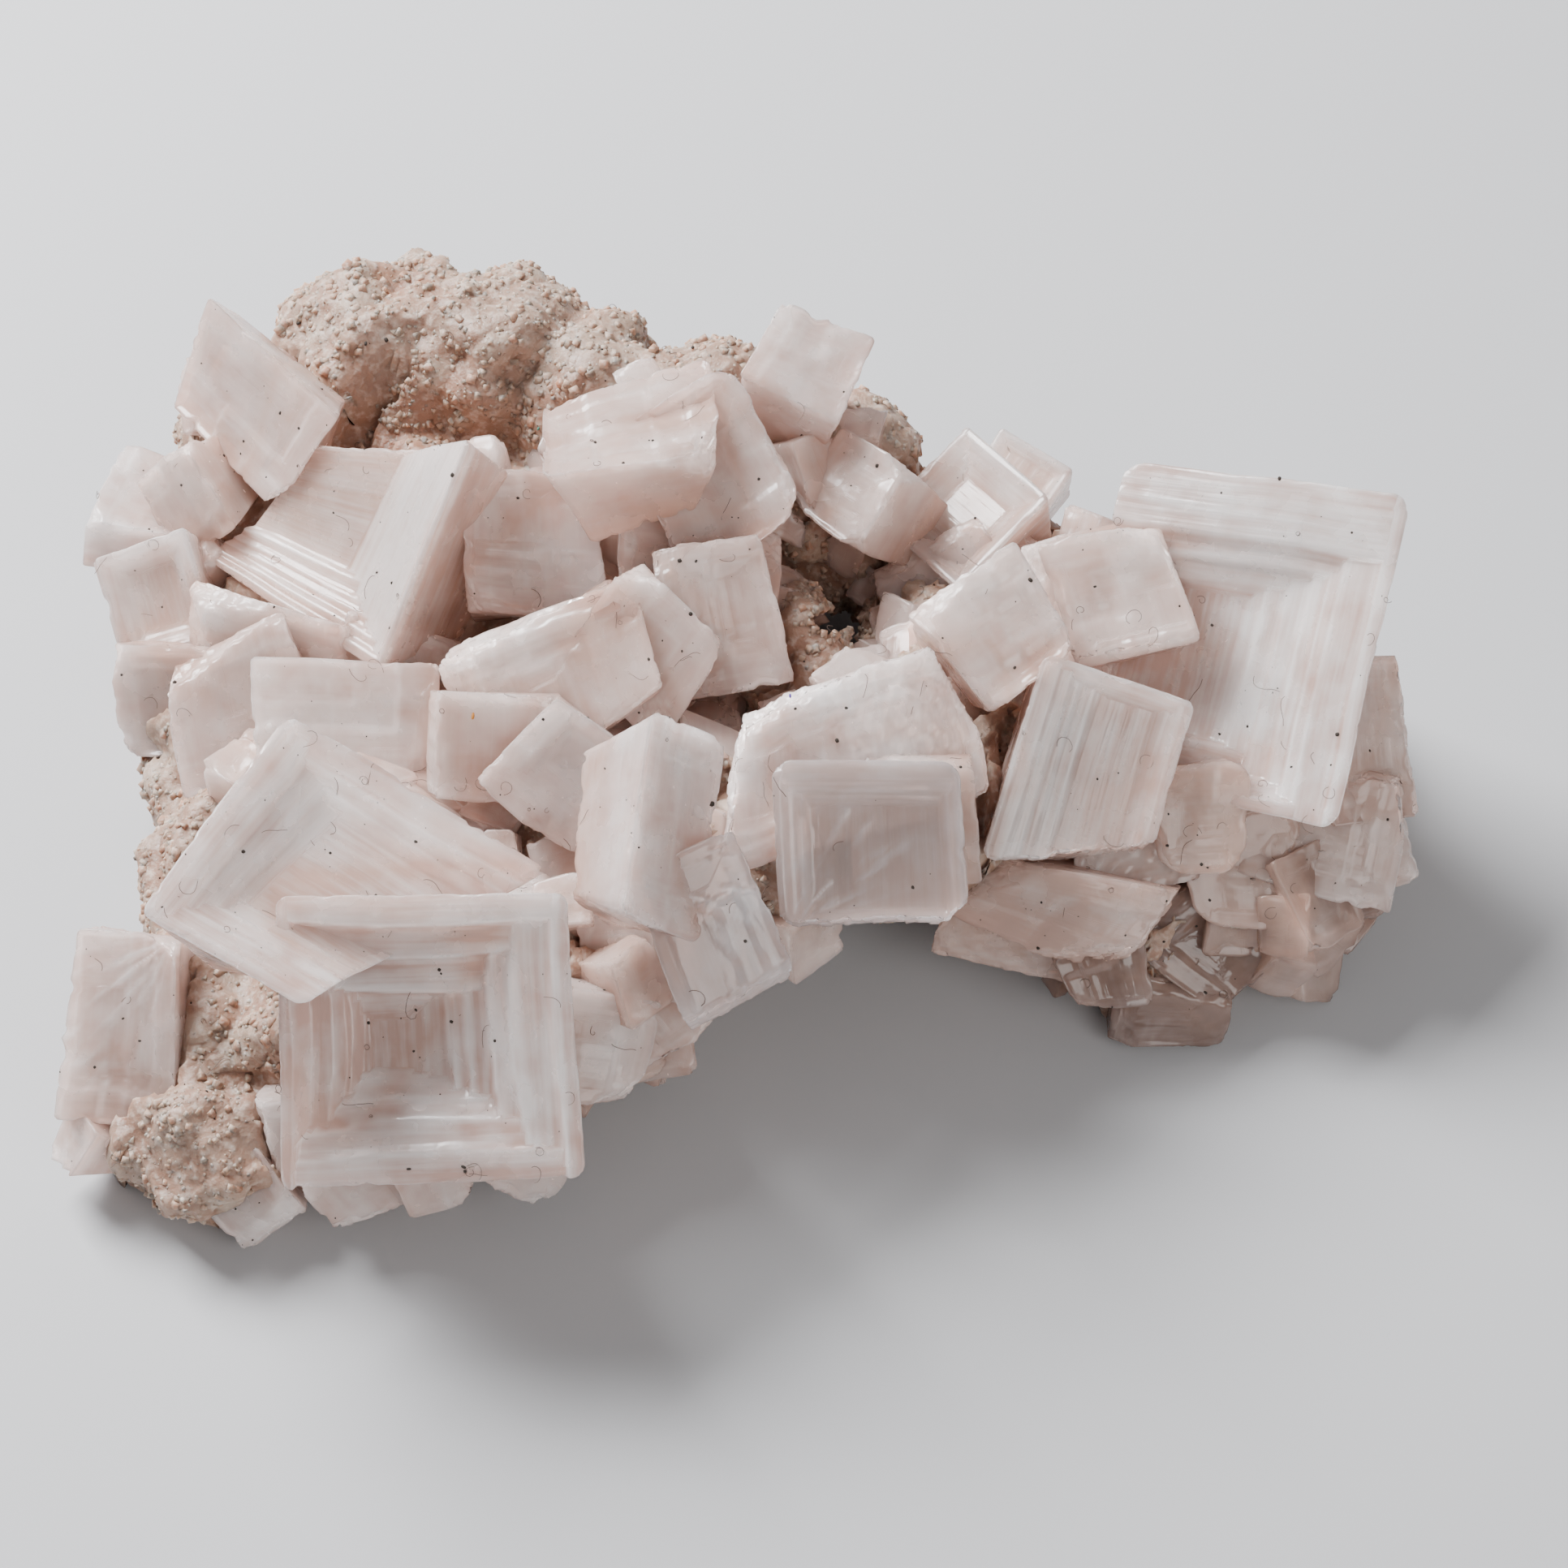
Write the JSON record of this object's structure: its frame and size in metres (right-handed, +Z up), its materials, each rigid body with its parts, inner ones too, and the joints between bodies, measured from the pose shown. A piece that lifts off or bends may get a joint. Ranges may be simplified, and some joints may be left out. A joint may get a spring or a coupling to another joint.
{
  "type": "halite crystal cluster",
  "caption": "Hand-sized cluster of pale hopper cubes of halite, intergrown at all angles on a lumpy salt crust with an arched underside.",
  "frame": {"origin": "centre of the bounding box's bottom face, in the plane of the feet", "axes": "+X along the longest extent, left to right as seen from the viewing side; +Y away from the viewing side; +Z up"},
  "size_m": [0.0946, 0.0782, 0.0319],
  "materials": {
    "halite": "pale pinkish salt, glossy on fresh crystal faces"
  },
  "bodies": {
    "root": {"halite_cluster": "halite"}
  },
  "joints": []
}
